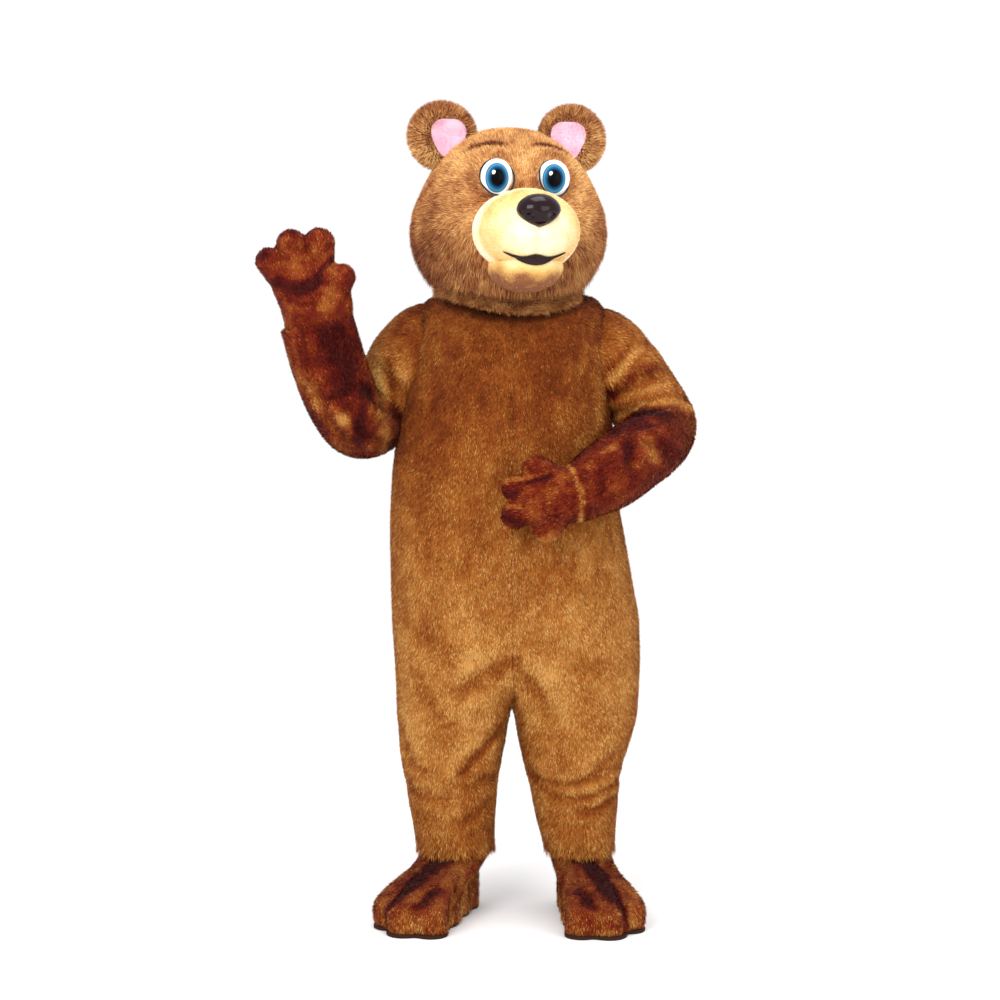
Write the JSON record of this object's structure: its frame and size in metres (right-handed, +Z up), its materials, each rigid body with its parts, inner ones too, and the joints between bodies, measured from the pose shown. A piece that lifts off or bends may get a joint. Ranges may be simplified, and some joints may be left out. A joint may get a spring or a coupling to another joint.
{
  "type": "mascot costume",
  "caption": "A brown plush bear mascot costume, worn with one paw raised and the other on the belly, with a large fur head.",
  "frame": {"origin": "middle of the line between the wearer's shoulders, which hold the costume up, 1.40 m above the soles", "axes": "+Z up, -Y out of the costume's front, +X towards the wearer's left"},
  "size_m": [1.0159, 0.5536, 1.915],
  "materials": {
    "plush_golden_brown": "short golden-brown pile, soft sheen",
    "plush_red_brown": "short red-brown pile with dark nap patches",
    "head_fur": "longer brushed fur with tan tips",
    "cream_plush": "very short cream fleece",
    "pink_plush": "short pink pile",
    "eye_plastic": "glossy white, blue and black",
    "nose_plastic": "glossy dark aubergine brown",
    "mouth_mesh": "matte dark see-through mesh",
    "sole_rubber": "matte dark sheet",
    "zip_tape": "woven tape with coil teeth",
    "zip_metal": "dull"
  },
  "bodies": {
    "root": {"suit_front_right": "plush_golden_brown", "suit_front_left": "plush_golden_brown", "suit_back_right": "plush_golden_brown", "suit_back_left": "plush_golden_brown", "sleeve_right": "plush_red_brown", "sleeve_left": "plush_red_brown", "mitt_palm_right": "plush_red_brown", "mitt_back_right": "plush_red_brown", "mitt_palm_left": "plush_red_brown", "mitt_back_left": "plush_red_brown", "foot_upper_right": "plush_red_brown", "foot_upper_left": "plush_red_brown", "foot_sole_right": "sole_rubber", "foot_sole_left": "sole_rubber", "head_front": "head_fur", "head_back": "head_fur", "neck_ruff": "head_fur", "ear_right": "head_fur", "ear_left": "head_fur", "ear_lining_right": "pink_plush", "ear_lining_left": "pink_plush", "eye_right": "eye_plastic", "eye_left": "eye_plastic", "muzzle": "cream_plush", "chin": "cream_plush", "mouth": "mouth_mesh", "nose": "nose_plastic", "zip_tape": "zip_tape", "zip_slider": "zip_metal"}
  },
  "joints": []
}
